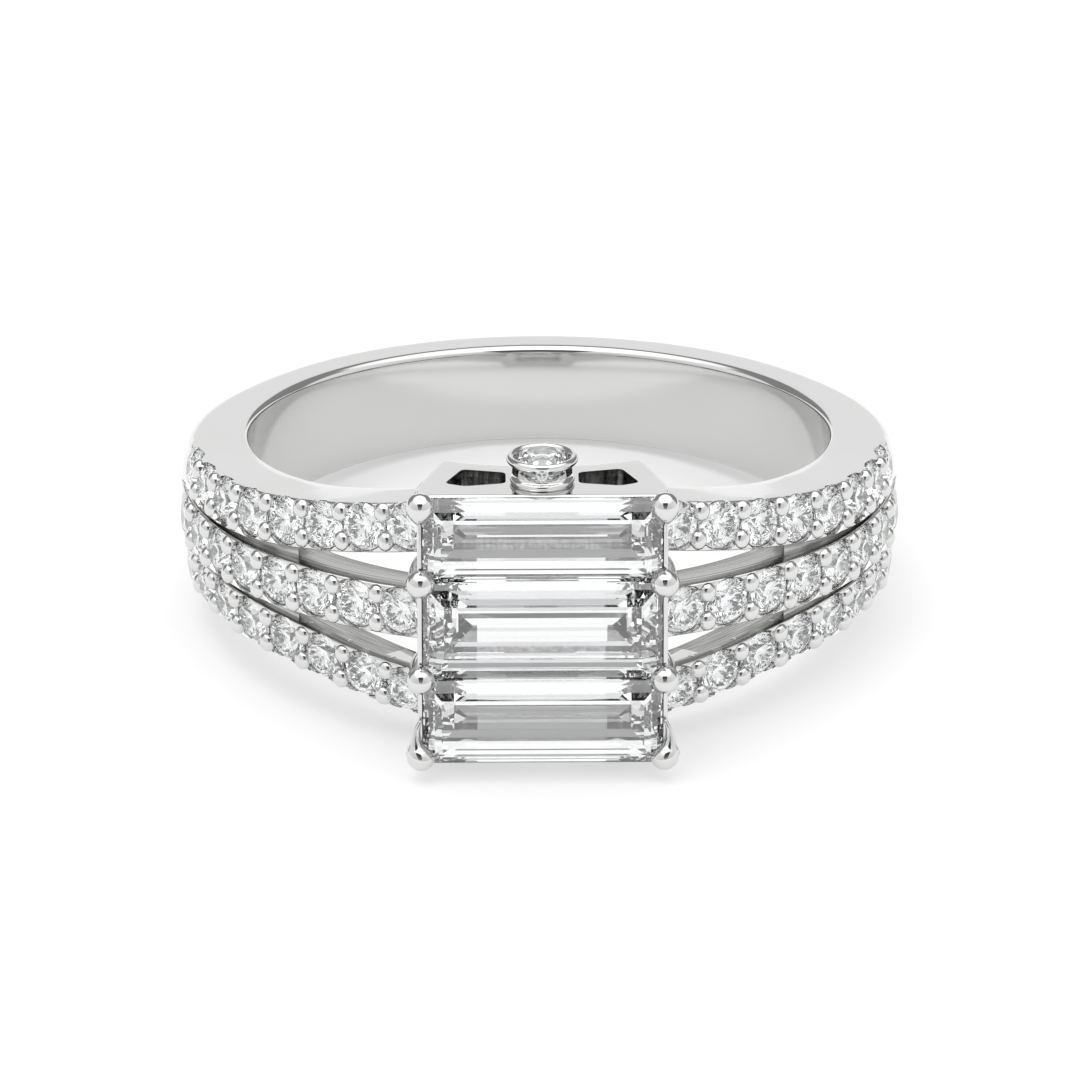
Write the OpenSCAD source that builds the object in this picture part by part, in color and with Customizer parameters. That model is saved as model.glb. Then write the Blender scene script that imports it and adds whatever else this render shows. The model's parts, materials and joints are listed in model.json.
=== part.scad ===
// Three-stone ring with a split paved shank, lying on its side as it rests by itself.
// The ring is described with the finger axis on Z and its head towards -Y. The last
// step leans it back until the basket and the back of the band touch Z = 0.

/* [Finger hole] */
// Inner diameter of the band
finger_d = 16.5; // [15:0.1:19]

/* [Plain band] */
// Width of the band at the back of the finger
back_w = 2.9; // [2.4:0.1:3.4]
// Width of the plain band at the sides of the finger
side_w = 3.74; // [3.4:0.02:4]
// Thickness of the band at the back
back_t = 1.23; // [1.1:0.01:1.5]
// Bevel along the outer edges of the plain band
band_bevel = 0.25; // [0.1:0.05:0.35]

/* [Paved rows] */
// Width of one paved row
row_w = 1.4; // [1.2:0.05:1.5]
// Distance between the centre lines of the rows at the sides of the finger
row_pitch = 1.47; // [1.4:0.01:1.6]
// How much further apart the rows are at the head
row_rise = 1.3; // [1:0.05:1.5]
// Thickness of the shank over the outer edge of the paved rows
row_t = 1.72; // [1.5:0.02:1.9]
// Extra height of the middle row over the outer edges
row_dome = 0.2; // [0.05:0.01:0.25]
// Azimuth from the head at which the openings between the rows end
split_end = 47; // [42:1:55]
// How much the bars beside an opening narrow on each side for each mm towards the finger
bar_taper = 0.22; // [0:0.02:0.24]
// Azimuth from the head at which the paved rows end
pave_end = 83; // [78:1:88]

/* [Large stones] */
// Length of the three rectangular stones
stone_l = 6.6; // [6:0.1:7.2]
// Width of the middle stone
middle_w = 2.8; // [2.5:0.05:3]
// Width of the upper and lower stones
outer_w = 2.44; // [2.2:0.02:2.7]
// Height of the crown over the girdle
crown_h = 0.36; // [0.25:0.01:0.45]
// Depth of the pavilion under the girdle
pavilion_h = 1.3; // [1:0.05:1.4]
// Distance of the girdle from the finger axis
girdle_y = 10.75; // [10.6:0.05:11]

/* [Head] */
// Half width of the basket at the finger
basket_foot = 2.6; // [2.4:0.05:2.8]
// Diameter of the ball at the tip of a prong
ball_d = 0.8; // [0.7:0.01:0.84]
// Diameter of the wire of a prong
wire_d = 0.5; // [0.4:0.05:0.6]
// Free space between a stone and the metal
gap = 0.03; // [0.02:0.01:0.04]
// Free space between two neighbouring large stones
stone_gap = 0.04; // [0.02:0.01:0.05]

/* [Bezel] */
// Distance of the bezel cup from the finger axis
cup_y = 9.7; // [9.6:0.05:9.8]
// Outer diameter of the bezel cup
cup_d = 1.98; // [1.8:0.02:2.1]
// Height of the bezel cup over the side wall of the basket
cup_h = 0.8; // [0.7:0.05:1]
// Height of the straight rim at the top of the cup
rim_h = 0.28; // [0.2:0.02:0.35]
// Diameter of the cup at its waist
waist_d = 1.56; // [1.5:0.02:1.7]
// Diameter of the foot of the cup
foot_d = 1.78; // [1.7:0.02:1.9]
// Diameter of the round stone
round_d = 1.66; // [1.5:0.02:1.7]
// Width of the half-moon window under the rim
moon_w = 1.3; // [1:0.05:1.4]
// Height of the half-moon window under the rim
moon_h = 0.42; // [0.3:0.02:0.46]

/* [Hidden] */
$fn = 64;

platinum = [0.85, 0.85, 0.83];
diamond = [0.93, 0.95, 0.96];

// Cutting shapes run this far past what they cut
spare = 1;

bore_r = finger_d / 2;
back_r = bore_r + back_t;
row_r = bore_r + row_t;

// Azimuths over which the shank thickens towards the rows, and the rows fade into the band
thin_end = 130;
thick_start = 82;
fade_start = pave_end - 29;
fade_end = pave_end - 5;
full_dome = 95;
row_bevel = 0.12;

// The bars taper from this distance from the axis inwards
bar_r = row_r - row_bevel;

// The basket has walls of one thickness and holds the girdles inside a narrow lip
wall = 0.5;
lip = 0.15;
girdle_h = 0.06;
outer_z = middle_w / 2 + stone_gap + outer_w / 2;
head_half = outer_z + outer_w / 2 + lip / 2;
basket_half = stone_l / 2 + lip;

// Opening between the basket and the finger
hatch_half = 1.8;
hatch_edge = 0.9;

// Outline of the window beside the bezel, between the front rail and the rail at the finger
window = [[0.98, -8.85], [2.1, -8.72], [2.62, -9.7], [2.1, -10], [0.98, -9.8]];

// Prong balls stand at the outer corners and where two stones meet
ball_r = ball_d / 2;
ball_x = stone_l / 2 + 0.06;
ball_y = -girdle_y - 0.16;
corner_z = head_half - 0.28;
shared_z = (middle_w + stone_gap) / 2;
wire_y = -bore_r - 0.2;
claw_lean = 0.2;

// Levels of the bezel cup over the wall of the basket
cup_root = 0.3;
foot_h = 0.1;
waist_z = 0.2;
ledge_z = 0.3;
moon_z = 0.32;
drill_d = 1.26;
girdle_drop = 0.2;

// The ring stands on the lower back edge of the band and on the two lower corners of the
// basket at the finger, and leans by the angle that brings the three to one height
edge_y = back_r - band_bevel;
foot_y = sqrt(pow(bore_r, 2) - pow(basket_foot, 2));
lean = atan((head_half - back_w / 2) / (edge_y + foot_y));
rest_z = back_w / 2 * cos(lean) + edge_y * sin(lean);
front_y = ball_y * cos(lean) - corner_z * sin(lean) - ball_r;
rear_y = back_r * cos(lean) + (back_w / 2 - band_bevel) * sin(lean);

function mix(a, b, t) = a + (b - a) * t;
function ease(t) = t <= 0 ? 0 : t >= 1 ? 1 : t * t * (3 - 2 * t);
function spot(r, azimuth, z) = [r * sin(azimuth), -r * cos(azimuth), z];
function from_head(azimuth) = azimuth > 180 ? 360 - azimuth : azimuth;

// Height of the centre line of an outer row, which flares towards the head
function row_z(a) = row_pitch + row_rise * pow(cos(a), 4);
function paved(a) = 1 - ease((a - fade_start) / (fade_end - fade_start));
function plain_w(a) = mix(back_w, side_w, 1 + cos(a));
function half_w(a) = mix(plain_w(a) / 2, row_z(min(a, 90)) + row_w / 2, paved(a));
function edge_r(a) = mix(back_r, row_r, ease((thin_end - a) / (thin_end - thick_start)));
function dome(a) = row_dome * mix(0.4, 1, ease((thin_end - a) / (thin_end - full_dome)));
function bevel(a) = mix(band_bevel, row_bevel, paved(a));

// Half width of the basket, which widens from the finger to the girdle of the stones
function basket_x(y) = mix(basket_foot, basket_half, (y - foot_y) / (girdle_y - foot_y));

// Outline of the band at one azimuth, as distance from the axis and height
function band_outline(a) = let (h = half_w(a), r = edge_r(a), b = bevel(a), d = dome(a))
    [[bore_r - spare, -h], [r - b, -h], [r, b - h], [r + 0.75 * d, -h / 2], [r + d, 0],
     [r + 0.75 * d, h / 2], [r, h - b], [r - b, h], [bore_r - spare, h]];

// Outline of the opening between the middle row and an outer row
function split_outline(a) =
    let (low = row_w / 2, high = row_z(a) - row_w / 2, near = bore_r - spare, far = row_r + spare,
         spread = (bar_r - near) * bar_taper)
    [[near, low - spread], [bar_r, low], [far, low], [far, high], [bar_r, high], [near, high + spread]];

// A closed skin over outlines that stand one after another around the axis
module loft(azimuths, outlines) {
    count = len(outlines);
    size = len(outlines[0]);
    points = [for (i = [0:count - 1]) for (p = outlines[i]) spot(p[0], azimuths[i], p[1])];
    sides = [for (i = [0:count - 2]) for (j = [0:size - 1])
        let (a = i * size + j, b = i * size + (j + 1) % size)
        each [[a, b, b + size], [a, b + size, a + size]]];
    first = [for (j = [size - 1:-1:0]) j];
    last = [for (j = [0:size - 1]) (count - 1) * size + j];
    polyhedron(points = points, faces = concat([first, last], sides));
}

// The whole band, from one side of the head round the back to the other
module band() {
    start = 14;
    steps = 72;
    azimuths = [for (i = [0:steps]) mix(start, 360 - start, i / steps)];
    loft(azimuths, [for (a = azimuths) band_outline(from_head(a))]);
}

// One opening between two paved rows
module split() {
    start = 12;
    steps = 10;
    azimuths = [for (i = [0:steps]) mix(start, split_end, i / steps)];
    loft(azimuths, [for (a = azimuths) split_outline(a)]);
}

module both_sides() {
    children();
    mirror([1, 0, 0]) children();
}

module top_and_bottom() {
    children();
    mirror([0, 0, 1]) children();
}

// A round rod between two points
module rod(from, to, d) {
    run = to - from;
    translate(from)
        rotate([0, acos(run[2] / norm(run)), atan2(run[1], run[0])])
            cylinder(h = norm(run), d = d);
}

// Plan of the basket between two distances from the axis, with its sides moved inwards
module basket_plan(inset, front, back) {
    wide = basket_x(front) - inset;
    narrow = basket_x(back) - inset;
    polygon([[-narrow, -back], [-wide, -front], [wide, -front], [narrow, -back]]);
}

module basket_block() {
    translate([0, 0, -head_half])
        linear_extrude(height = 2 * head_half)
            basket_plan(0, girdle_y + lip / 3, foot_y - lip);
}

// The space under the stones, with a smaller opening to the finger
module basket_hollow() {
    depth = 2 * (head_half - wall);
    hatch_h = 2 * (head_half - hatch_edge);
    translate([0, 0, -depth / 2])
        linear_extrude(height = depth)
            basket_plan(wall, girdle_y + spare, bore_r + wall + lip);
    translate([-hatch_half, -bore_r - spare, -hatch_h / 2])
        cube([2 * hatch_half, 3 * spare, hatch_h]);
}

// Two windows in the upper wall of the basket and two in the lower
module basket_windows() {
    both_sides()
        translate([0, 0, -head_half - spare])
            linear_extrude(height = 2 * (head_half + spare))
                polygon(window);
}

// A wire from the finger side of the basket to a ball over the stones
module prong(z, from_z) {
    translate([ball_x, ball_y, z]) sphere(d = ball_d);
    rod([basket_foot, wire_y, from_z], [ball_x, ball_y, z], wire_d);
}

module prongs() {
    both_sides() top_and_bottom() {
        prong(corner_z, corner_z - claw_lean);
        prong(shared_z, shared_z);
    }
}

// A window that is pointed at its sides, through the front and back of the cup
module half_moons() {
    arc_r = (pow(moon_w / 2, 2) + pow(moon_h / 2, 2)) / moon_h;
    arc_z = arc_r - moon_h / 2;
    translate([0, 0, moon_z])
        rotate([90, 0, 0])
            linear_extrude(height = 2 * cup_d, center = true)
                intersection() {
                    translate([0, arc_z]) circle(r = arc_r);
                    translate([0, -arc_z]) circle(r = arc_r);
                }
}

// A round cup with a waist on the upper wall, open to the space under the large stones
module bezel_cup() {
    outline = [
        [drill_d / 2, -cup_root], [foot_d / 2, -cup_root], [foot_d / 2, foot_h], [waist_d / 2, waist_z],
        [cup_d / 2, cup_h - rim_h], [cup_d / 2, cup_h], [round_d / 2 + gap, cup_h],
        [round_d / 2 + gap, ledge_z], [drill_d / 2, ledge_z]];
    translate([0, -cup_y, head_half]) difference() {
        rotate_extrude() polygon(outline);
        half_moons();
    }
}

// The hole that the bezel cup stands over
module cup_drill() {
    translate([0, -cup_y, head_half - wall - spare])
        cylinder(h = wall + 2 * spare, d = drill_d);
}

// Corner points of a rectangle of the stone, at a distance in front of the girdle
function step_ring(l, w, y) =
    [[-l / 2, -y, -w / 2], [l / 2, -y, -w / 2], [l / 2, -y, w / 2], [-l / 2, -y, w / 2]];

// Each row is a step of the cut: how far it lies in from the girdle, as a part of the
// half width, and its height as a part of the crown or the pavilion
crown_steps = [[0, 0], [0.12, 0.38], [0.26, 0.72], [0.42, 1]];
pavilion_steps = [[0.975, 1], [0.7, 0.84], [0.36, 0.5], [0, 0]];

// A step-cut rectangle with its table towards -Y, grown by the same amount all round
module step_cut(w, grow = 0) {
    function ring(step, height) = let (inset = step[0] * w - 2 * grow)
        step_ring(stone_l - inset, w - inset, height);
    rings = concat(
        [for (s = pavilion_steps) ring(s, -girdle_h / 2 - s[1] * pavilion_h - grow)],
        [for (s = crown_steps) ring(s, girdle_h / 2 + s[1] * crown_h + grow)]);
    count = len(rings);
    sides = [for (i = [0:count - 2]) for (j = [0:3]) let (k = (j + 1) % 4)
        [4 * i + k, 4 * i + j, 4 * (i + 1) + j, 4 * (i + 1) + k]];
    caps = [[0, 1, 2, 3], [for (j = [3:-1:0]) 4 * (count - 1) + j]];
    translate([0, -girdle_y, 0])
        polyhedron(points = [for (r = rings) each r], faces = concat(caps, sides));
}

// The three stones, or the room that is cut for them
module large_stones(grow) {
    step_cut(middle_w, grow);
    translate([0, 0, outer_z]) step_cut(outer_w, grow);
    translate([0, 0, -outer_z]) step_cut(outer_w, grow);
}

// A round brilliant with its girdle at Z = 0
module brilliant(d) {
    r = d / 2;
    table_r = 0.56 * r;
    crown = 0.32 * r;
    depth = 0.86 * r;
    star_r = 0.79 * r;
    lower_r = 0.24 * r;
    rim = 0.03 * r;
    star_z = rim + crown * (r - star_r * cos(22.5)) / (r - table_r);
    lower_z = -rim - depth * (r - lower_r * cos(22.5)) / r;
    function turn(radius, azimuth, z) = [radius * cos(azimuth), radius * sin(azimuth), z];
    points = concat(
        [[0, 0, -rim - depth]],
        [for (i = [0:7]) turn(lower_r, 45 * i + 22.5, lower_z)],
        [for (i = [0:15]) turn(r, 22.5 * i, -rim)],
        [for (i = [0:15]) turn(r, 22.5 * i, rim)],
        [for (i = [0:7]) turn(star_r, 45 * i + 22.5, star_z)],
        [for (i = [0:7]) turn(table_r, 45 * i, rim + crown)]);
    low = 1;
    under = 9;
    over = 25;
    star = 41;
    top = 49;
    faces = [for (i = [0:7])
        let (n = (i + 1) % 8, p = (i + 7) % 8, g = 2 * i, h = 2 * i + 1, k = (2 * i + 2) % 16)
        each [[0, low + p, under + g, low + i],
              [low + i, under + g, under + h],
              [low + i, under + h, under + k],
              [under + g, over + g, over + h, under + h],
              [under + h, over + h, over + k, under + k],
              [star + i, over + h, over + g],
              [star + i, over + k, over + h],
              [top + i, star + i, over + g, star + p],
              [top + i, top + n, star + i]]];
    table = [[for (i = [7:-1:0]) top + i]];
    polyhedron(points = points, faces = concat(table, faces));
}

// Leans the ring back onto the floor and centres it over the origin
module at_rest() {
    translate([0, -(front_y + rear_y) / 2, rest_z])
        rotate([-lean, 0, 0])
            children();
}

module ring_mount() {
    color(platinum) at_rest() difference() {
        union() {
            difference() {
                band();
                both_sides() top_and_bottom() split();
            }
            difference() {
                basket_block();
                basket_windows();
            }
            prongs();
            bezel_cup();
        }
        cylinder(h = 4 * head_half, r = bore_r, center = true);
        basket_hollow();
        cup_drill();
        large_stones(gap);
    }
}

module upper_baguette() {
    color(diamond) at_rest()
        translate([0, 0, outer_z]) step_cut(outer_w);
}

module middle_baguette() {
    color(diamond) at_rest() step_cut(middle_w);
}

module lower_baguette() {
    color(diamond) at_rest()
        translate([0, 0, -outer_z]) step_cut(outer_w);
}

module gallery_brilliant() {
    color(diamond) at_rest()
        translate([0, -cup_y, head_half + cup_h - girdle_drop]) brilliant(round_d);
}

ring_mount();
upper_baguette();
middle_baguette();
lower_baguette();
gallery_brilliant();
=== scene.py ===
# Three-stone ring in polished platinum, with a split shank paved with round diamonds and three
# step-cut diamonds in a prong basket. Lengths are in millimetres while a piece is built, with the
# finger axis on Z and the head towards -Y, and each piece is leaned and placed at the end.
import bmesh
import bpy
import json
import math
from mathutils import Matrix, Vector


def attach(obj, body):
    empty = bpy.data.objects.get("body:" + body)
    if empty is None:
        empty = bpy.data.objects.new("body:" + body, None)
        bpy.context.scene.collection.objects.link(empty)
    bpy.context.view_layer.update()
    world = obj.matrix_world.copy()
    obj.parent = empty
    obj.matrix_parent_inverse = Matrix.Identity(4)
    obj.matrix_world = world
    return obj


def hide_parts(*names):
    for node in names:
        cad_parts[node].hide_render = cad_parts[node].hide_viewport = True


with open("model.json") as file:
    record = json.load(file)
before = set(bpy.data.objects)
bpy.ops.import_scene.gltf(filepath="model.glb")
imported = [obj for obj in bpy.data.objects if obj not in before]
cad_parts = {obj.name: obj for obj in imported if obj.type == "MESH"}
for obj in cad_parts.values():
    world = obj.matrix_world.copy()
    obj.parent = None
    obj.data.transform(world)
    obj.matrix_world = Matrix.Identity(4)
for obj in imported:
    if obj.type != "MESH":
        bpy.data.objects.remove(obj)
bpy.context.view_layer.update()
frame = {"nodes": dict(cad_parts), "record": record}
print("frame loaded:", sorted(frame["nodes"]))

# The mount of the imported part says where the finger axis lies
bore = next(m for m in frame["record"]["mounts"] if m["name"] == "finger_bore")
boreR = bore["dims"]["r_mm"]
leanBack = Vector((0, 0, 1)).rotation_difference(Vector(bore["axis"])).to_matrix().to_4x4()
place = Matrix.Translation(bore["pos_m"]) @ leanBack @ Matrix.Scale(0.001, 4)


def mix(a, b, t):
    return a + (b - a) * t


def ease(value, start, end):  # from 0 at the start to 1 at the end, gently at both
    t = min(max((value - start) / (end - start), 0), 1)
    return t * t * (3 - 2 * t)


def spot(r, azimuth, z):  # azimuth in degrees from the head, positive towards +X
    a = math.radians(azimuth)
    return Vector((r * math.sin(a), -r * math.cos(a), z))


def arcPoints(centre, radius, start, end, steps):  # a quarter round or any other part of a circle
    angles = [math.radians(mix(start, end, i / steps)) for i in range(steps + 1)]
    return [(centre[0] + radius * math.cos(a), centre[1] + radius * math.sin(a)) for a in angles]


# Materials

def hexColour(text):  # sRGB hex to linear
    parts = [int(text[i:i + 2], 16) / 255 for i in (1, 3, 5)]
    return [c / 12.92 if c <= 0.04045 else ((c + 0.055) / 1.055) ** 2.4 for c in parts] + [1]


def addNode(tree, kind, settings, inputs):
    node = tree.nodes.new(kind)
    for key, value in settings.items():
        setattr(node, key, value)
    for key, value in inputs.items():
        if isinstance(value, bpy.types.NodeSocket):
            tree.links.new(value, node.inputs[key])
        else:
            node.inputs[key].default_value = value
    return node


def newMaterial(name):
    material = bpy.data.materials.new(name)
    material.use_nodes = True
    tree = material.node_tree
    return material, tree, tree.nodes["Principled BSDF"], addNode(tree, "ShaderNodeTexCoord", {}, {})


# The satin greys are a little darker than the polished ones, as painted shade inside the ring
platinumLook = {
    "polished": ("#d8d8d7", "#dedede"), "satin": ("#d0d0cf", "#d6d6d5"),  # grey and pale of each
    "polishMarks": 0.05,    # mm between the marks of the last buffing, drawn coarser than real to show
    "cloudSize": 2.5, "cloudDepth": 0.004,      # mm, slow waver of a hand-polished surface
    "polishedRoughness": 0.05, "satinRoughness": 0.09, "least": 0.8, "most": 1.25}  # parts of the roughness


def platinumMaterial(name, colours, roughness):
    material, tree, shader, coords = newMaterial(name)
    look = platinumLook
    cloud = addNode(tree, "ShaderNodeTexNoise", {}, {
        "Vector": coords.outputs["Object"], "Scale": 1000 / look["cloudSize"], "Detail": 2})
    tint = addNode(tree, "ShaderNodeValToRGB", {}, {"Fac": cloud.outputs["Fac"]})
    tint.color_ramp.elements[0].color, tint.color_ramp.elements[1].color = map(hexColour, colours)
    marks = addNode(tree, "ShaderNodeTexNoise", {}, {
        "Vector": coords.outputs["Object"], "Scale": 1000 / look["polishMarks"], "Detail": 3})
    gloss = addNode(tree, "ShaderNodeMapRange", {}, {
        "Value": marks.outputs["Fac"], "To Min": roughness * look["least"],
        "To Max": roughness * look["most"]})
    bump = addNode(tree, "ShaderNodeBump", {}, {
        "Height": cloud.outputs["Fac"], "Strength": 1, "Distance": look["cloudDepth"] / 1000})
    tree.links.new(tint.outputs["Color"], shader.inputs["Base Color"])
    tree.links.new(gloss.outputs["Result"], shader.inputs["Roughness"])
    tree.links.new(bump.outputs["Normal"], shader.inputs["Normal"])
    shader.inputs["Metallic"].default_value = 1
    return material


# Platinum, buffed: a clear mirror of the studio that is a little greyer than what it reflects
platinumPolished = platinumMaterial(
    "platinum_polished", platinumLook["polished"], platinumLook["polishedRoughness"])
# Platinum, satin: the wall at the finger, where wear blurs every reflection to a soft grey, and its colour
# is a little darker as painted shade inside the ring
platinumSatinShade = platinumMaterial("platinum_satin_painted_shade", platinumLook["satin"], platinumLook["satinRoughness"])


# File marks in dark greys, which are painted shade of the gaps between the bars
filedShadeLook = {
    "dark": "#8c8c8a", "pale": "#c0c0be", "darkAt": 0.38, "paleAt": 0.6,
    "lines": 0.07,          # mm between the file marks
    "drift": 0.3,           # how soon the marks change across the bar
    "roughness": 0.22}


def filedShadeMaterial(name):  # the marks run round the finger axis, which leans in Object coordinates
    material, tree, shader, coords = newMaterial(name)
    upright = addNode(tree, "ShaderNodeMapping", {}, {"Vector": coords.outputs["Object"]})
    back = place.inverted()
    upright.inputs["Location"].default_value = back.translation
    upright.inputs["Rotation"].default_value = back.to_3x3().normalized().to_euler()
    upright.inputs["Scale"].default_value = (1000, 1000, 1000)
    parts = addNode(tree, "ShaderNodeSeparateXYZ", {}, {"Vector": upright.outputs["Vector"]})
    flat = addNode(tree, "ShaderNodeCombineXYZ", {}, {"X": parts.outputs["X"], "Y": parts.outputs["Y"]})
    away = addNode(tree, "ShaderNodeVectorMath", {"operation": "LENGTH"}, {0: flat.outputs["Vector"]})
    height = addNode(tree, "ShaderNodeMath", {"operation": "MULTIPLY"}, {
        0: parts.outputs["Z"], 1: filedShadeLook["drift"]})
    lineAt = addNode(tree, "ShaderNodeCombineXYZ", {}, {
        "X": away.outputs["Value"], "Y": height.outputs["Value"]})
    lines = addNode(tree, "ShaderNodeTexNoise", {}, {
        "Vector": lineAt.outputs["Vector"], "Scale": 1 / filedShadeLook["lines"], "Detail": 1})
    tint = addNode(tree, "ShaderNodeValToRGB", {}, {"Fac": lines.outputs["Fac"]})
    for element, shade in zip(tint.color_ramp.elements, ("dark", "pale")):
        element.position, element.color = filedShadeLook[shade + "At"], hexColour(filedShadeLook[shade])
    tree.links.new(tint.outputs["Color"], shader.inputs["Base Color"])
    shader.inputs["Metallic"].default_value = 1
    shader.inputs["Roughness"].default_value = filedShadeLook["roughness"]
    return material


# Dark greys that are painted shade inside the windows and the hollow
shadedRecessLook = {
    "dark": "#4a4a49", "pale": "#9a9a98", "darkAt": 0.35, "paleAt": 0.65,
    "streaks": 0.12,        # mm between the streaks
    "stretch": 0.05,        # of the pattern along a streak
    "roughness": 0.25}


def shadedRecessMaterial(name):
    material, tree, shader, coords = newMaterial(name)
    along = addNode(tree, "ShaderNodeMapping", {}, {
        "Vector": coords.outputs["Object"], "Scale": (1, 1, shadedRecessLook["stretch"])})
    streaks = addNode(tree, "ShaderNodeTexNoise", {}, {
        "Vector": along.outputs["Vector"], "Scale": 1000 / shadedRecessLook["streaks"], "Detail": 2})
    tint = addNode(tree, "ShaderNodeValToRGB", {}, {"Fac": streaks.outputs["Fac"]})
    for element, shade in zip(tint.color_ramp.elements, ("dark", "pale")):
        element.position, element.color = shadedRecessLook[shade + "At"], hexColour(shadedRecessLook[shade])
    tree.links.new(tint.outputs["Color"], shader.inputs["Base Color"])
    shader.inputs["Metallic"].default_value = 1
    shader.inputs["Roughness"].default_value = shadedRecessLook["roughness"]
    return material


# Platinum with painted shade: the walls inside the windows of the galleries and the hollow of the basket,
# dull, and dark with upright streaks as painted shade of these recesses
platinumShadedRecess = shadedRecessMaterial("platinum_recess_painted_shade")
# Platinum, filed, with painted shade: the flanks of the bars, where no buff reaches and dark lines run
# along the bar; the dark greys are painted shade of the gaps between the bars
platinumFiledShade = filedShadeMaterial("platinum_filed_painted_shade")


diamondLook = {"clear": "#ffffff", "cool": "#f6f8fa", "growth": 1.5, "ior": 2.417}  # growth zones in mm


def diamondMaterial(name):
    material, tree, shader, coords = newMaterial(name)
    zones = addNode(tree, "ShaderNodeTexNoise", {}, {
        "Vector": coords.outputs["Object"], "Scale": 1000 / diamondLook["growth"]})
    tint = addNode(tree, "ShaderNodeValToRGB", {}, {"Fac": zones.outputs["Fac"]})
    tint.color_ramp.elements[0].color = hexColour(diamondLook["cool"])
    tint.color_ramp.elements[1].color = hexColour(diamondLook["clear"])
    tree.links.new(tint.outputs["Color"], shader.inputs["Base Color"])
    shader.inputs["Roughness"].default_value = 0
    shader.inputs["IOR"].default_value = diamondLook["ior"]
    shader.inputs["Transmission Weight"].default_value = 1
    return material


# Diamond, cut and polished: flat facets, each with a hard-edged light or dark reflection
diamondCut = diamondMaterial("diamond_cut")
print("materials made")


# Mesh helpers

def faceOutwards(bm):
    bmesh.ops.recalc_face_normals(bm, faces=bm.faces)
    if bm.calc_volume(signed=True) < 0:
        bmesh.ops.reverse_faces(bm, faces=bm.faces)
    return bm


def spinOutline(outline, steps=48):  # turns an outline of (radius, height) about Z into a closed skin
    bm = bmesh.new()
    verts = [bm.verts.new((r, 0, z)) for r, z in outline]
    edges = [bm.edges.new(pair) for pair in zip(verts, verts[1:])]
    bmesh.ops.spin(bm, geom=verts + edges, cent=(0, 0, 0), axis=(0, 0, 1), angle=math.tau,
                   steps=steps, use_merge=True)
    bmesh.ops.remove_doubles(bm, verts=bm.verts, dist=0.0001)
    return faceOutwards(bm)


def addCopy(bm, part, matrix):
    mesh = bpy.data.meshes.new("copy")
    part.to_mesh(mesh)
    mesh.transform(matrix)
    if matrix.is_negative:  # a mirrored copy would be inside out
        mesh.flip_normals()
    bm.from_mesh(mesh)
    bpy.data.meshes.remove(mesh)


def toObject(name, bm):
    mesh = bpy.data.meshes.new(name)
    bm.to_mesh(mesh)
    bm.free()
    piece = bpy.data.objects.new(name, mesh)
    bpy.context.scene.collection.objects.link(piece)
    return piece


def cutAway(piece, cutters):  # each cutter is taken out of the piece and then thrown away
    for cutter in cutters:
        cut = piece.modifiers.new("cut", "BOOLEAN")
        cut.object = cutter
        cut.solver = "MANIFOLD"
    bpy.context.view_layer.update()
    graph = bpy.context.evaluated_depsgraph_get()
    mesh = bpy.data.meshes.new_from_object(piece.evaluated_get(graph))
    piece.modifiers.clear()
    piece.data = mesh
    for cutter in cutters:
        bpy.data.objects.remove(cutter)


def finishPiece(piece, materials, replaced=(), sharpAngle=35):
    piece.data.transform(place)
    numbers = [polygon.material_index for polygon in piece.data.polygons]
    piece.data.materials.clear()
    for material in materials:
        piece.data.materials.append(material)
    piece.data.polygons.foreach_set("material_index", numbers)
    for polygon in piece.data.polygons:
        polygon.use_smooth = sharpAngle > 0
    if sharpAngle > 0:
        piece.data.set_sharp_from_angle(angle=math.radians(sharpAngle))
        flat = piece.modifiers.new("flat faces", "WEIGHTED_NORMAL")
        flat.keep_sharp = True  # flat faces stay flat in the shading beside a rounded edge
    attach(piece, "root")
    if replaced:
        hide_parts(*replaced)
    print("made", piece.name, "with", len(piece.data.polygons), "faces")


# Shank: an outline with two grooves is spun round the finger and then shaped by its azimuth

shank = {  # every Start, End, From and To is in degrees from the head
    "start": 17,            # inside the wall of the basket
    "step": 1,              # degrees between two outlines
    "backR": 9.48, "sideR": 10, "thinEnd": 130, "thickStart": 82,
    "backHalf": 1.45, "sideHalf": 1.87, "barsEnd": 54, "plainStart": 78,
    "rowPitch": 1.47, "rowRise": 1.3, "rowEdge": 0.67, "rowHalf": 0.725, "groove": 0.04,
    "outerR": 9.78, "rowR": 9.86, "innerRowR": 9.93, "middleEdgeR": 9.99, "middleR": 10.04,
    "middleRise": 0.13, "middleFrom": 35, "middleTo": 65,   # the middle row, further out near the head
    "grooveR": 9.76, "backDome": 0.08, "sideDome": 0.2,
    "sideRise": 0.17, "sideFrom": 38, "sideTo": 60,         # all rows, at the sides of the finger
    "paveEnd": 83, "plainFrom": 88,
    "innerRound": 0.07, "backInnerRound": 0.2, "roundFrom": 70, "roundTo": 105,
    "domeFrom": 95, "domeTo": 130, "outerRound": 0.12, "plainRound": 0.28, "rowRound": 0.06,
    "splitX": 6.75,         # each gap ends in a wall straight across the finger, and a groove goes on
    "splitStart": 12, "splitEnd": 57,
    "splitOverlap": 0.005, "splitInside": 7.75, "splitOutside": 11,     # past the faces that it cuts
    "taper": 0.22, "taperR": 9.55,  # the bars between the gaps narrow towards the finger
    "filedShadeR": 9.6, "valleyR": 10.1, "filedShadeEnd": 68, "valleyEdge": 0.7}  # where the metal gets file marks and painted shade


def fromHead(a):  # the left side of the ring mirrors the right one
    return 360 - a if a > 180 else a


def rowZ(a):
    return shank["rowPitch"] + shank["rowRise"] * math.cos(math.radians(min(a, 90))) ** 4


def paved(a):
    return 1 - ease(a, shank["paveEnd"], shank["plainFrom"])


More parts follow.
